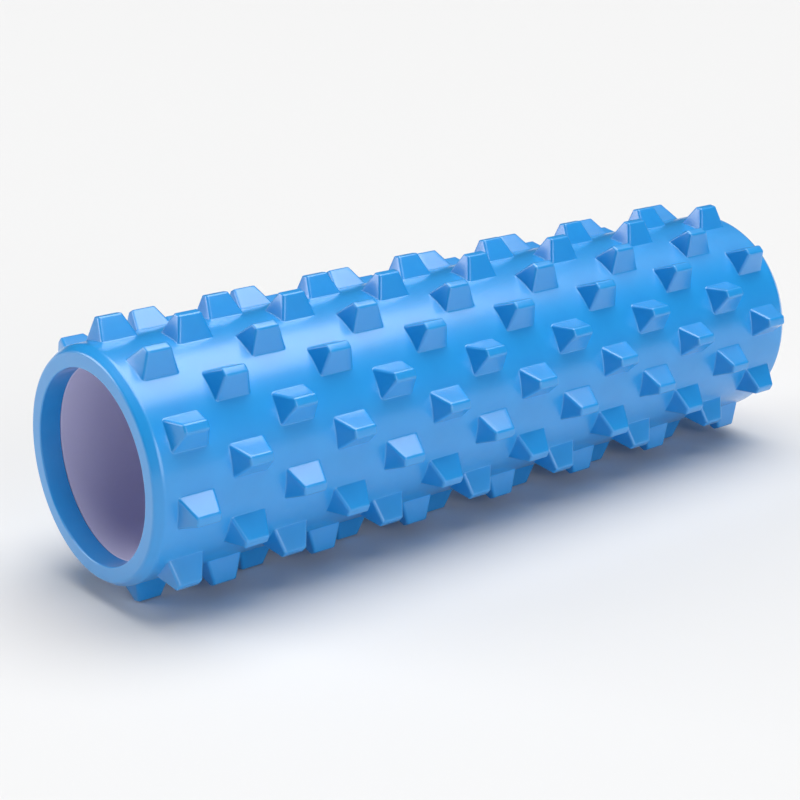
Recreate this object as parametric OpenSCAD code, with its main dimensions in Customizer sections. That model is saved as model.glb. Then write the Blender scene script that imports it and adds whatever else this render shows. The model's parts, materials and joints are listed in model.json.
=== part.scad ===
// Textured foam roller: a moulded foam sleeve with rows of raised nubs, on a rigid hollow core tube.
// Frame: the roller lies along X with its centre at the origin and +Z up, and rests on two rows of nubs.

/* [Roller] */
// Length over the two flat end faces
roller_length = 450; // [300:10:900]
// Diameter of the smooth foam body between the nubs
body_diameter = 122; // [118:1:135]
// Diameter of the clear bore through the lips and the core tube
bore_diameter = 100; // [90:1:102]
// Wall thickness of the rigid core tube
core_wall = 3.5; // [2:0.25:4]

/* [Ends] */
// Length of the foam lip that covers each end of the core tube
lip_length = 12; // [6:0.5:16]
// Size of the bevel at the mouth of the bore
mouth_bevel = 0.8; // [0.5:0.1:2]
// How far the bevelled rim runs along the roller
rim_bevel_length = 4.6; // [1:0.1:5]
// How far the bevelled rim steps in from the body to the end face
rim_bevel_depth = 3; // [0.5:0.1:3]

/* [Nubs] */
// Rows of nubs round the roller, an even number because neighbouring rows are staggered
row_count = 20; // [16:2:24]
// Distance between two nubs of one row, centre to centre
nub_pitch = 62.5; // [50:0.5:80]
// Height of a nub above the body
nub_height = 11.5; // [6:0.5:14]
// Length of a nub along the roller at its foot
nub_foot_length = 20.6; // [17:0.2:24]
// Width of a nub round the roller at its foot
nub_foot_width = 17; // [13:0.2:18]
// Length of the flat top of a nub
nub_top_length = 13.4; // [8:0.2:15]
// Width of the flat top of a nub
nub_top_width = 4.8; // [3:0.2:9]

/* [Hidden] */
$fn = 240;

body_r = body_diameter / 2;
bore_r = bore_diameter / 2;
core_r = bore_r + core_wall;
half_length = roller_length / 2;
core_half_length = half_length - lip_length;

// The nubs stand at least this far from an end face, measured to the nub's centre
least_nub_margin = 18;
nubs_per_row = floor((roller_length - 2 * least_nub_margin) / nub_pitch + 0.5);
// Two staggered rows together span this length, which is centred on the roller
pattern_length = (nubs_per_row - 0.5) * nub_pitch;
row_angle = 360 / row_count;

// Each nub is drawn down to this depth inside the body, on the slopes of its own sides
nub_root_depth = 2.5;
foot_r = sqrt(pow(body_r, 2) - pow(nub_foot_width / 2, 2));
top_r = body_r + nub_height;
root_r = foot_r - nub_root_depth;

// Distance from a nub's centre line to its side at radius r, for a foot and a top of these sizes
function side_at(r, foot, top) = (foot + (top - foot) * (r - foot_r) / (top_r - foot_r)) / 2;

// Turns a shape that was drawn round Z so that it lies along X
module along_x() {
    rotate([0, 90, 0]) children();
}

// Cross-section of a nub, with the given width at the foot and at the top
module nub_outline(foot, top) {
    root_half = side_at(root_r, foot, top);
    polygon([[-root_half, root_r], [root_half, root_r], [top / 2, top_r], [-top / 2, top_r]]);
}

// One straight row of nubs on the top of the roller: the lengthwise outlines of all its nubs,
// cut to the crosswise outline that they share
module nub_row(first_x) {
    intersection() {
        rotate([90, 0, 0])
            linear_extrude(height = 2 * nub_foot_width, center = true)
                for (i = [0 : nubs_per_row - 1])
                    translate([first_x + i * nub_pitch, 0]) nub_outline(nub_foot_length, nub_top_length);
        rotate([90, 0, 90])
            linear_extrude(height = roller_length, center = true)
                nub_outline(nub_foot_width, nub_top_width);
    }
}

// Lathe profile of the sleeve: body, bevelled rims, flat ends, lips and the seat of the core tube
module sleeve_profile() {
    face_r = body_r - rim_bevel_depth;
    mouth_r = bore_r + mouth_bevel;
    rim_start = half_length - rim_bevel_length;
    mouth_start = half_length - mouth_bevel;
    polygon([
        [bore_r, -mouth_start], [mouth_r, -half_length], [face_r, -half_length], [body_r, -rim_start],
        [body_r, rim_start], [face_r, half_length], [mouth_r, half_length], [bore_r, mouth_start],
        [bore_r, core_half_length], [core_r, core_half_length],
        [core_r, -core_half_length], [bore_r, -core_half_length]
    ]);
}

// Foam sleeve, moulded in one piece with its nubs and its two inward lips
module foam_sleeve() {
    color("dodgerblue")
        union() {
            along_x() rotate_extrude() sleeve_profile();
            for (row = [0 : row_count - 1])
                rotate([(row + 0.5) * row_angle, 0, 0])
                    nub_row((row % 2 == 0 ? nub_pitch : 0) / 2 - pattern_length / 2);
        }
}

// Rigid core tube, held between the two lips
module core_tube() {
    color("lavender")
        along_x()
            rotate_extrude()
                translate([bore_r, -core_half_length]) square([core_wall, 2 * core_half_length]);
}

foam_sleeve();
core_tube();
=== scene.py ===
# %% [markdown]
# # A textured foam roller
# A foam roller for massage is two pieces: a foam sleeve with raised nubs, and a stiff plastic tube
# inside it that keeps it round. Nothing moves, so the whole look rests on two things here: the exact
# shape of the moulded nubs, with their soft edges, and the satin skin of the foam. The CAD model
# gives the sizes. It is loaded first, its box is printed, and the bottom of that box later sets the floor.

# %% Load the CAD model
import json
import math

import bmesh
import bpy
import mathutils
import numpy as np
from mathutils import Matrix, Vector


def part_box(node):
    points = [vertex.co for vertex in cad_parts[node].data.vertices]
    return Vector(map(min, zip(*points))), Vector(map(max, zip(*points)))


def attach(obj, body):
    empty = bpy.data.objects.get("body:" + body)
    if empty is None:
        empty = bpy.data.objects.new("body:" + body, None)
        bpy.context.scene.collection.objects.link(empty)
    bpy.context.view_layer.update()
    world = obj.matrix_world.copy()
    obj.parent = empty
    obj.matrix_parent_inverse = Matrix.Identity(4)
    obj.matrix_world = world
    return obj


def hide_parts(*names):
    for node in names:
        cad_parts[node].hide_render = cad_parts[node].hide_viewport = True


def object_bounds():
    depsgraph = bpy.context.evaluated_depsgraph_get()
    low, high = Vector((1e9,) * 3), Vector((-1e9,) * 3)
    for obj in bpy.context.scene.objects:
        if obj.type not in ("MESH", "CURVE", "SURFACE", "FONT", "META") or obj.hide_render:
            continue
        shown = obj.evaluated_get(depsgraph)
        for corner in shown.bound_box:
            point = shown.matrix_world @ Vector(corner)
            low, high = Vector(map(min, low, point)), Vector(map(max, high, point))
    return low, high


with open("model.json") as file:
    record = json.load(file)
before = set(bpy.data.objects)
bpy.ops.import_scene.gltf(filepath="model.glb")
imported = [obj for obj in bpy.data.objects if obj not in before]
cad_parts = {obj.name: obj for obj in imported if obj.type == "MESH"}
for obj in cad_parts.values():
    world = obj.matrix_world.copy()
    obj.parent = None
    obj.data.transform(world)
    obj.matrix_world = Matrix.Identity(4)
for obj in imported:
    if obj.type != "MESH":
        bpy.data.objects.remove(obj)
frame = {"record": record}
cad_low, cad_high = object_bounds()
print("CAD box in mm:", [round(1000 * float(size), 1) for size in cad_high - cad_low])

# %% [markdown]
# The main sizes come from the CAD model: the half lengths from the boxes of its two nodes and the
# bore from its mount. What a box can't tell, such as the nubs' own sizes, is repeated here in
# millimetres. All of it is turned to metres, which is what the frame uses.

# %% Sizes from the CAD model
MM = 0.001
CORE_WALL = 3.5 * MM
BODY_DIAMETER = 122 * MM
mounts = {mount["name"]: mount for mount in frame["record"]["mounts"]}
half_length = float(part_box("foam_sleeve")[1][0])
core_half = float(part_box("core_tube")[1][0])
bore_r = mounts["core_bore"]["dims"]["r_mm"] * MM
core_r = bore_r + CORE_WALL
body_r = BODY_DIAMETER / 2
print(f"half length {half_length:.4f}, tube half {core_half:.4f}, bore {bore_r:.4f}, body {body_r:.4f}")

# %% Sizes of the nubs and their pattern
ROWS = 20
NUBS_PER_ROW = 7
PITCH = 62.5 * MM
NUB_HEIGHT = 11.5 * MM
FOOT_SIZE = np.array([20.6, 17.0]) * MM
TOP_SIZE = np.array([13.4, 4.8]) * MM
row_angle = 2 * math.pi / ROWS
half_steps = 2 * NUBS_PER_ROW
nub_x = (np.arange(half_steps) - (half_steps - 1) / 2) * PITCH / 2
print(f"{ROWS * NUBS_PER_ROW} nubs, the first {1000 * (half_length + nub_x[0]):.2f} mm from the end")

# %% [markdown]
# ## The side of a nub
# On the real roller a nub is a small hipped block that comes straight out of the mould. Its edges
# aren't sharp: they look rounded by one to two millimetres, and where the nub meets the body there is
# a small fillet. A Bevel modifier could round a plain block, but it makes uneven corners where four
# slopes and a curved body meet. It is cleaner to write the side down as a formula: a small arc at the
# foot, a straight wall and an arc at the top, and to ask for the nub's half size at any height. The
# long sides and the short sides then share one formula and one set of heights.

# %% Formula for the side of a nub
TOP_DROP = 1.0 * MM
FOOT_RISE = 0.45 * MM
HIP_RADIUS = 1.5 * MM


def half_size(height, foot, top):
    """Half the nub's size at each height, for one direction.

    The wall is the straight line from foot to top. Its slope s is the angle whose tangent is the
    height over the run. The top arc has radius drop / (1 - cos s) and ends where the flat top
    begins, radius * tan(s / 2) inside the sharp corner. The foot arc is the same the other way up.
    """
    slope = math.atan2(NUB_HEIGHT, foot - top)
    top_radius = TOP_DROP / (1 - math.cos(slope))
    foot_radius = FOOT_RISE / (1 - math.cos(slope))
    wall = foot + (top - foot) * height / NUB_HEIGHT
    top_cos = np.clip(1 - (NUB_HEIGHT - height) / top_radius, 0, 1)
    top_arc = top + top_radius * (np.sqrt(1 - top_cos**2) - math.tan(slope / 2))
    foot_cos = np.clip(1 - height / foot_radius, 0, 1)
    foot_arc = foot - foot_radius * (np.sqrt(1 - foot_cos**2) - math.tan(slope / 2))
    rounded = np.where(height > NUB_HEIGHT - TOP_DROP, top_arc, wall)
    return np.where(height < FOOT_RISE, foot_arc, rounded)


# %% Heights of the rings round a nub
FOOT_STEPS = 3
WALL_STEPS = 3
TOP_STEPS = 4
foot_rings = FOOT_RISE * (np.arange(FOOT_STEPS) / FOOT_STEPS) ** 2
wall_rings = np.linspace(FOOT_RISE, NUB_HEIGHT - TOP_DROP, WALL_STEPS, endpoint=False)
top_rings = NUB_HEIGHT - TOP_DROP * (np.arange(TOP_STEPS, -1, -1) / TOP_STEPS) ** 2
ring_height = np.concatenate([foot_rings, wall_rings, top_rings])
ring_half_x = half_size(ring_height, FOOT_SIZE[0] / 2, TOP_SIZE[0] / 2)
ring_half_y = half_size(ring_height, FOOT_SIZE[1] / 2, TOP_SIZE[1] / 2)
ring_spread = np.maximum(ring_half_y - half_size(FOOT_RISE, FOOT_SIZE[1] / 2, TOP_SIZE[1] / 2), 0)
ring_corner = HIP_RADIUS * np.sqrt(np.clip((NUB_HEIGHT - ring_height) / TOP_DROP, 0, 1)) + ring_spread
print(f"{len(ring_height)} rings, foot {2000 * ring_half_x[0]:.1f} x {2000 * ring_half_y[0]:.1f} mm")

# %% [markdown]
# ## Going round a nub
# Every ring is a rectangle with rounded corners. A point on it is a point on a smaller, sharp
# rectangle plus the corner radius along the outward direction. So one list of places on a unit
# rectangle, and one list of outward angles, serve all the rings: only the two half sizes and the
# corner radius change from ring to ring.

# %% Places and outward angles round one ring
CORNER_STEPS = 2
SIDE_STEPS = (6, 4)
STEPS_X = SIDE_STEPS[0] + 2 * CORNER_STEPS
STEPS_Y = SIDE_STEPS[1] + 2 * CORNER_STEPS


def one_side(steps, facing):
    """Along one side from corner to corner: the place from -1 to 1, and the outward angle.

    The place stays at -1 while the angle turns through the last 45 degrees of the first corner, then
    it runs to 1 at a constant angle, and stays there for the first 45 degrees of the next corner.
    """
    turn = np.linspace(math.pi / 4, 0, CORNER_STEPS, endpoint=False)
    place = np.concatenate([-np.ones(CORNER_STEPS), np.linspace(-1, 1, steps + 1), np.ones(CORNER_STEPS)])
    angle = np.concatenate([facing - turn, np.full(steps + 1, facing), facing + turn[::-1]])
    return place[:-1], angle[:-1]


long_place, low_angle = one_side(SIDE_STEPS[0], -math.pi / 2)
short_place, right_angle = one_side(SIDE_STEPS[1], 0)
ring_u = np.concatenate([long_place, np.ones(STEPS_Y), -long_place, -np.ones(STEPS_Y)])
ring_v = np.concatenate([-np.ones(STEPS_X), short_place, np.ones(STEPS_X), -short_place])
ring_turn = np.concatenate([low_angle, right_angle, low_angle + math.pi, right_angle + math.pi])
print(f"{len(ring_u)} points round each ring")

# %% [markdown]
# ## Rings of the whole nub
# From the outside in, a nub's patch starts at a window in the plain body, whose points must fall on
# the body's own grid. Then come the rings of the foot, the wall and the rounded top. The last ring
# folds onto a short ridge line in the middle of the flat top, which closes the patch with no pole.

# %% Nub patch in flat coordinates
WINDOW_MARGIN = 1.1 * MM
window_half_x = FOOT_SIZE[0] / 2 + WINDOW_MARGIN
row_turn = np.linspace(-row_angle / 2, row_angle / 2, STEPS_Y + 1)
window_x = np.linspace(-window_half_x, window_half_x, STEPS_X + 1)
window_y = body_r * np.sin(row_turn)
edge_x = np.concatenate([window_x[:-1], np.full(STEPS_Y, window_x[-1]), window_x[:0:-1],
                         np.full(STEPS_Y, window_x[0])])
edge_y = np.concatenate([np.full(STEPS_X, window_y[0]), window_y[:-1], np.full(STEPS_X, window_y[-1]),
                         window_y[:0:-1]])
inner_x = (ring_half_x - ring_corner)[:, None] * ring_u + ring_corner[:, None] * np.cos(ring_turn)
inner_y = (ring_half_y - ring_corner)[:, None] * ring_v + ring_corner[:, None] * np.sin(ring_turn)
ridge_x = inner_x[-1] * (1 - ring_half_y[-1] / ring_half_x[-1])
patch_x = np.vstack([edge_x, inner_x, ridge_x])
patch_y = np.vstack([edge_y, inner_y, np.zeros_like(ridge_x)])
patch_h = np.concatenate([[0], ring_height, [NUB_HEIGHT]])[:, None] * np.ones(len(ring_u))
print("nub patch grid:", patch_x.shape)

# %% [markdown]
# ## Placing the nubs
# Foam doesn't come out of its mould quite even: one nub is a shade taller, another leans a little.
# Each nub gets its own small random lean and height from a seeded generator, so it is the same every
# time. The patches are then bent round the body in one go. A point keeps its sideways distance y, and
# its distance from the axis is the body's radius plus its height, so Pythagoras gives the rest.

# %% Bend every nub round the body
LEAN = 0.22 * MM
UNEVEN = 0.012
SEED = 7


def round_body(x, y, height, turn):
    """Points at (x, y) on a row that is turned about the axis: out = sqrt((r + height)^2 - y^2)."""
    out = np.sqrt((body_r + height) ** 2 - y**2)
    across = y * np.cos(turn) - out * np.sin(turn)
    up = y * np.sin(turn) + out * np.cos(turn)
    return np.stack(np.broadcast_arrays(x, across, up), axis=-1)


row_of, step_of = np.nonzero((np.arange(ROWS)[:, None] + np.arange(half_steps)) % 2)
random = np.random.default_rng(SEED)
lean = random.normal(0, LEAN, (len(row_of), 2))
taller = random.normal(0, UNEVEN, len(row_of))
rise = (patch_h / NUB_HEIGHT)[None]
nub_points = round_body(
    nub_x[step_of][:, None, None] + patch_x + lean[:, 0, None, None] * rise,
    patch_y + lean[:, 1, None, None] * rise,
    patch_h * (1 + taller[:, None, None]),
    ((row_of + 0.5) * row_angle)[:, None, None],
)
print("nub points:", nub_points.shape)

# %% [markdown]
# ## The body between the nubs
# The plain body is a grid of lines along and round the roller. Where a nub stands, the grid is left
# open, and the nub's patch fits that window point for point. The grid stops a little before each end
# face, where the profile of the rounded end takes over.

# %% Grid of the body with its windows
RIM_ZONE = 6.2 * MM
rim_line = half_length - RIM_ZONE
block_x = (nub_x[:, None] + window_x).ravel()
body_x = np.concatenate([[-rim_line], block_x, [rim_line]])
body_turn = (np.arange(ROWS * STEPS_Y + 1) * row_angle) / STEPS_Y
body_points = round_body(body_x[:, None], 0 * body_turn, 0, body_turn)
block_of = np.full(len(body_x) - 1, -1)
block_of[1:-1] = np.where(np.arange(len(block_x) - 1) % (STEPS_X + 1) < STEPS_X,
                          np.arange(len(block_x) - 1) // (STEPS_X + 1), -1)
row_of_strip = np.arange(ROWS * STEPS_Y) // STEPS_Y
window = (block_of[:, None] >= 0) & ((block_of[:, None] + row_of_strip) % 2 == 1)
print(f"body grid {body_points.shape[:2]}, {int(window.sum())} cells left open")


# %% Faces of a grid of points
def grid_faces(rows, columns, closed=False, keep=None):
    """Quads of a grid, numbered row by row: each joins (i, j), (i, j+1), (i+1, j+1) and (i+1, j)."""
    span = columns if closed else columns - 1
    i, j = np.meshgrid(np.arange(rows - 1), np.arange(span), indexing="ij")
    if keep is not None:
        i, j = i[keep], j[keep]
    after = (j + 1) % columns
    quads = [i * columns + j, i * columns + after, (i + 1) * columns + after, (i + 1) * columns + j]
    return np.stack(quads, axis=-1).reshape(-1, 4)


# %% [markdown]
# ## The rounded ends
# The sleeve's end is turned, so its shape is a profile carried round the axis: down the bevelled rim,
# across the flat end face, along the inside of the lip, over its shoulder and into the seat of the
# tube. The corners of the profile are rounded by arcs, each with its own radius.

# %% Profile with rounded corners
def rounded_profile(corners, radii, steps=5):
    """Replaces each inner corner by an arc of the given radius, tangent to both of its sides.

    The arc starts radius / tan(half the corner's angle) before the corner and its centre lies on
    the line that halves the angle.
    """
    corners = np.array(corners, float)
    points = [corners[0]]
    for before, corner, after, radius in zip(corners, corners[1:], corners[2:], radii):
        back = (before - corner) / np.linalg.norm(before - corner)
        ahead = (after - corner) / np.linalg.norm(after - corner)
        half = math.acos(np.clip(back @ ahead, -1, 1)) / 2
        middle = (back + ahead) / np.linalg.norm(back + ahead)
        centre = corner + middle * radius / math.sin(half)
        start = corner + back * radius / math.tan(half) - centre
        end = corner + ahead * radius / math.tan(half) - centre
        way = np.linspace(0, 1, steps + 1)[:, None]
        sweep = math.pi - 2 * half
        arc = (np.sin((1 - way) * sweep) * start + np.sin(way * sweep) * end) / math.sin(sweep)
        points.extend(centre + arc)
    points.append(corners[-1])
    return np.array(points)


def turned(profile, turn):
    """Carries a profile of (x, radius) points round the axis, one ring of points per profile point."""
    x, radius = profile[:, 0, None], profile[:, 1, None]
    return np.stack(np.broadcast_arrays(x, -radius * np.sin(turn), radius * np.cos(turn)), axis=-1)


# %% Ends of the sleeve
BEVEL_LENGTH = 4.6 * MM
BEVEL_DEPTH = 3.0 * MM
SHOULDER_GAP = 0.15 * MM
END_RADII = np.array([3.5, 2.2, 0.8, 0.6, 0.3]) * MM
end_profile = rounded_profile(
    [(rim_line, body_r), (half_length - BEVEL_LENGTH, body_r), (half_length, body_r - BEVEL_DEPTH),
     (half_length, bore_r), (core_half + SHOULDER_GAP, bore_r), (core_half + SHOULDER_GAP, core_r),
     (0, core_r)],
    END_RADII)
inside_profile = np.vstack([end_profile, (end_profile * [-1, 1])[-2::-1]])
inside_points = turned(inside_profile, body_turn[:-1])
print(f"{len(inside_profile)} points in the turned profile")

# %% [markdown]
# ## Joining the sleeve
# The three sets of points become one mesh. Points that fall on each other are welded, which closes
# the seams between the patches, the body and the ends, and turns the squeezed quads of the ridge
# line and the nubs' corners into triangles. The Weighted Normal modifier lets the large flat walls
# set the shading, so the flats look flat and only the narrow arcs look round.


# %% Make and weld a mesh
def make_mesh(name, parts, weld=1e-6):
    """A smooth-shaded object from parts of (points, faces), with points nearer than weld joined."""
    sizes = [len(points.reshape(-1, 3)) for points, faces in parts]
    starts = np.concatenate([[0], np.cumsum(sizes)[:-1]])
    points = np.vstack([points.reshape(-1, 3) for points, faces in parts])
    faces = np.vstack([faces + start for (_, faces), start in zip(parts, starts)])
    mesh = bpy.data.meshes.new(name)
    mesh.from_pydata(points, [], faces.tolist())
    work = bmesh.new()
    work.from_mesh(mesh)
    bmesh.ops.remove_doubles(work, verts=work.verts, dist=weld)
    open_edges = sum(1 for edge in work.edges if len(edge.link_faces) != 2)
    volume = work.calc_volume(signed=True)
    work.to_mesh(mesh)
    work.free()
    mesh.shade_smooth()
    piece = bpy.data.objects.new(name, mesh)
    piece.modifiers.new("flat walls", "WEIGHTED_NORMAL")
    bpy.context.scene.collection.objects.link(piece)
    triangles = sum(len(face.vertices) - 2 for face in mesh.polygons)
    print(f"{name}: {triangles} triangles, {open_edges} open edges, {volume * 1000:.3f} litres")
    return piece


# %% The foam sleeve
patch_rows, patch_columns = patch_x.shape
per_nub = patch_rows * patch_columns
one_patch = grid_faces(patch_rows, patch_columns, closed=True)
nub_faces = (one_patch[None] + np.arange(len(row_of))[:, None, None] * per_nub).reshape(-1, 4)
body_faces = grid_faces(*body_points.shape[:2], keep=~window)
inside_faces = grid_faces(*inside_points.shape[:2], closed=True)
sleeve = make_mesh("foam_sleeve_skin", [(nub_points, nub_faces), (body_points, body_faces),
                                        (inside_points, inside_faces)])
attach(sleeve, "root")
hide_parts("foam_sleeve")

# %% [markdown]
# ## The core tube
# The core is an extruded plastic tube, cut to length and broken at its edges. It is one closed
# profile carried round the axis, and its cut ends have a small radius, which leaves the thin dark
# joint that shows where the foam lip ends.

# %% The core tube
CUT_EDGE = 0.5 * MM
tube_corners = [(0, bore_r), (core_half, bore_r), (core_half, core_r), (0, core_r)]
tube_half = rounded_profile(tube_corners, [CUT_EDGE, CUT_EDGE], steps=4)
tube_profile = np.vstack([tube_half, (tube_half * [-1, 1])[-2::-1]])[::-1]
tube_points = turned(tube_profile, body_turn[:-1])
tube = make_mesh("core_tube_wall", [(tube_points, grid_faces(*tube_points.shape[:2], closed=True))])
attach(tube, "root")
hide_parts("core_tube")


# %% [markdown]
# ## Tools for the materials
# Colours are picked as the hex values that any colour picker gives, which are sRGB. Cycles works in
# linear light, so one function converts them. Another adds a node, sets its inputs and settings, and
# links what it is given, which keeps each material to one line per node.

# %% Colour and node helpers
def linear(hex_colour):
    """sRGB hex to linear RGBA: c / 12.92 below 0.04045, else ((c + 0.055) / 1.055) ^ 2.4."""
    srgb = np.array([int(hex_colour[i:i + 2], 16) for i in (1, 3, 5)]) / 255
    rgb = np.where(srgb <= 0.04045, srgb / 12.92, ((srgb + 0.055) / 1.055) ** 2.4)
    return (*rgb.tolist(), 1)


def add_node(tree, kind, inputs=None, **settings):
    """Adds a node, applies its settings, then sets each named input, or links it if given a socket."""
    node = tree.nodes.new(kind)
    for name, value in settings.items():
        setattr(node, name, value)
    for name, value in (inputs or {}).items():
        if isinstance(value, bpy.types.NodeSocket):
            tree.links.new(value, node.inputs[name])
        else:
            node.inputs[name].default_value = value
    return node


def new_material(name):
    """A node material and its tree, emptied of the default nodes."""
    material = bpy.data.materials.new(name)
    material.use_nodes = True
    material.node_tree.nodes.clear()
    return material, material.node_tree


# %% [markdown]
# ## Moulded EVA foam
# The sleeve is closed-cell EVA foam. Against the mould it forms a dense skin, so it has a satin
# shine rather than the pores of cut foam, and the dye goes all the way through, which makes a strong
# even blue. The Principled shader's coat plays the skin: it gives the long soft streak on the body
# and the light lines along the nubs' edges, while the base below keeps the deep blue. The skin isn't
# perfectly smooth. Such a skin usually has a fine pebble of about a quarter of a millimetre, too
# small to see from here, so it is drawn at twice that size, where it widens the shine without
# showing as dots. A slow unevenness over several millimetres breaks up long highlights. A little
# light travels under the surface, which softens the shading of the small nubs.

# %% Foam material
PEBBLE_MM = 0.55
UNEVEN_MM = 9.0
foam, tree = new_material("moulded EVA foam, blue, satin skin")
place = add_node(tree, "ShaderNodeTexCoord").outputs["Object"]
slow = add_node(tree, "ShaderNodeTexNoise", {"Vector": place, "Scale": 1 / (UNEVEN_MM * MM), "Detail": 2.0})
fine = add_node(tree, "ShaderNodeTexNoise", {"Vector": place, "Scale": 1 / (PEBBLE_MM * MM), "Detail": 1.5})
dye = add_node(tree, "ShaderNodeMix", {"Factor": slow.outputs["Fac"], 6: linear("#1693e0"),
                                       7: linear("#1a9ae6")}, data_type="RGBA")
gloss = add_node(tree, "ShaderNodeMapRange", {"Value": fine.outputs["Fac"], "To Min": 0.36, "To Max": 0.46})
wave = add_node(tree, "ShaderNodeBump", {"Height": slow.outputs["Fac"], "Strength": 0.12,
                                         "Distance": 0.6 * MM})
pebble = add_node(tree, "ShaderNodeBump", {"Height": fine.outputs["Fac"], "Strength": 0.25,
                                           "Distance": 0.05 * MM, "Normal": wave.outputs["Normal"]})
skin = add_node(tree, "ShaderNodeBsdfPrincipled", {
    "Base Color": dye.outputs[2], "Roughness": gloss.outputs["Result"],
    "Normal": pebble.outputs["Normal"], "IOR": 1.49,
    "Coat Weight": 1.0, "Coat Roughness": 0.22, "Coat IOR": 1.5,
    "Subsurface Weight": 0.06, "Subsurface Radius": (0.4, 0.7, 1.0), "Subsurface Scale": 1.5 * MM})
add_node(tree, "ShaderNodeOutputMaterial", {"Surface": skin.outputs["BSDF"]})
sleeve.data.materials.append(foam)
print(f"{foam.name}: pebble {PEBBLE_MM} mm, slow unevenness {UNEVEN_MM} mm")

# %% [markdown]
# ## Extruded plastic tube
# The tube is a pale rigid plastic with a hint of violet, forced through a die. The die leaves very
# fine lines along the tube and a semi-matt surface, so the bore shows a broad, dull gradient where
# the foam shows streaks. The lines are a noise that is squeezed across the tube and stretched along
# it. Die lines are usually about a tenth of a millimetre apart. These are drawn a millimetre apart,
# to show at all.

# %% Core material
LINE_MM = 1.1
LINE_RUN_MM = 170
CLOUD_MM = 40
plastic, tree = new_material("extruded ABS, pale, semi-matt")
place = add_node(tree, "ShaderNodeTexCoord").outputs["Object"]
drawn = add_node(tree, "ShaderNodeMapping", {
    "Vector": place, "Scale": (1 / (LINE_RUN_MM * MM), 1 / (LINE_MM * MM), 1 / (LINE_MM * MM))})
lines = add_node(tree, "ShaderNodeTexNoise", {"Vector": drawn.outputs["Vector"], "Scale": 1.0})
cloud = add_node(tree, "ShaderNodeTexNoise", {"Vector": place, "Scale": 1 / (CLOUD_MM * MM)})
shade = add_node(tree, "ShaderNodeMix", {"Factor": cloud.outputs["Fac"], 6: linear("#d2ceee"),
                                         7: linear("#dad7f3")}, data_type="RGBA")
ridge = add_node(tree, "ShaderNodeBump", {"Height": lines.outputs["Fac"], "Strength": 0.2,
                                          "Distance": 0.05 * MM})
wall = add_node(tree, "ShaderNodeBsdfPrincipled", {
    "Base Color": shade.outputs[2], "Roughness": 0.45, "IOR": 1.54, "Normal": ridge.outputs["Normal"]})
add_node(tree, "ShaderNodeOutputMaterial", {"Surface": wall.outputs["BSDF"]})
tube.data.materials.append(plastic)
print(f"{plastic.name}: die lines {LINE_MM} mm apart, {LINE_RUN_MM} mm long")

# %% [markdown]
# ## Floor, light and camera
# The roller lies on a plain pale floor under broad, soft studio light. A studio's softboxes are large
# and far away compared with a roller, and a Sun lamp with a wide angle is just that: a soft disc in
# the sky. It has no falloff, so the floor keeps one even brightness from front to back, where an
# area lamp would leave a bright pool. Three are enough. The overhead one gives most of the light
# and the streak along the top, the low one at the back left lights the end face and reaches into
# the bore, and the low one in front fills the side, so that the left ends of the nubs stay the
# darkest faces and the pattern reads. The weak white world only keeps the deepest shadows open.

# %% Floor
FLOOR_HALF = 12.0
floor_mesh = bpy.data.meshes.new("floor")
floor_corners = [(-FLOOR_HALF, -FLOOR_HALF), (FLOOR_HALF, -FLOOR_HALF), (FLOOR_HALF, FLOOR_HALF),
                 (-FLOOR_HALF, FLOOR_HALF)]
floor_mesh.from_pydata([(x, y, float(cad_low[2])) for x, y in floor_corners], [], [(0, 1, 2, 3)])
floor = bpy.data.objects.new("floor", floor_mesh)
bpy.context.scene.collection.objects.link(floor)
paper, tree = new_material("pale studio paper, matt")
matt = add_node(tree, "ShaderNodeBsdfPrincipled", {"Base Color": linear("#dedede"), "Roughness": 0.9})
add_node(tree, "ShaderNodeOutputMaterial", {"Surface": matt.outputs["BSDF"]})
floor_mesh.materials.append(paper)
print(f"floor at {1000 * float(cad_low[2]):.1f} mm, under the lowest nubs")

# %% Light
scene = bpy.context.scene
scene.view_settings.view_transform = "Standard"
WORLD_STRENGTH = 0.03
world = bpy.data.worlds.new("studio")
world.use_nodes = True
sky = world.node_tree.nodes["Background"]
sky.inputs["Color"].default_value = (1, 1, 1, 1)
sky.inputs["Strength"].default_value = WORLD_STRENGTH
scene.world = world


def soft_light(name, elevation, azimuth, strength, spread):
    """A far lamp, a disc of spread degrees, that gives strength in W/m2 to a surface facing it."""
    lamp = bpy.data.lights.new(name, "SUN")
    lamp.energy = strength
    lamp.angle = math.radians(spread)
    holder = bpy.data.objects.new(name, lamp)
    holder.rotation_euler = (0, math.radians(90 - elevation), math.radians(azimuth))
    scene.collection.objects.link(holder)
    print(f"{name}: {strength} W/m2 from {elevation} degrees up, {spread} degrees wide")


soft_light("overhead", 80, 0, 3.2, 60)
soft_light("back left", 22, 135, 1.3, 34)
soft_light("front", 12, 270, 1.4, 45)

# %% [markdown]
# ## The camera
# A long lens from a metre away keeps the far end of the roller nearly as large as the near end. The
# camera looks down by LOOK_ELEVATION, its direction is LOOK_YAW from the +X axis, and a small BANK
# about its own view axis tips the picture, as a hand-held camera would.

# %% Camera
FOCAL_MM = 82.8
LOOK_ELEVATION = math.radians(17.78)
LOOK_YAW = math.radians(51.05)
BANK = math.radians(0.67)
CAMERA_PLACE = (-0.6393, -0.7540, 0.3046)
camera_data = bpy.data.cameras.new("camera")
camera_data.lens = FOCAL_MM
camera = bpy.data.objects.new("camera", camera_data)
camera.location = CAMERA_PLACE
level = mathutils.Euler((math.pi / 2 - LOOK_ELEVATION, 0, LOOK_YAW - math.pi / 2)).to_matrix()
camera.rotation_euler = (level @ mathutils.Matrix.Rotation(-BANK, 3, "Z")).to_euler()
scene.collection.objects.link(camera)
scene.camera = camera
print(f"camera {camera.location.length:.3f} m from the middle of the roller, lens {FOCAL_MM} mm")
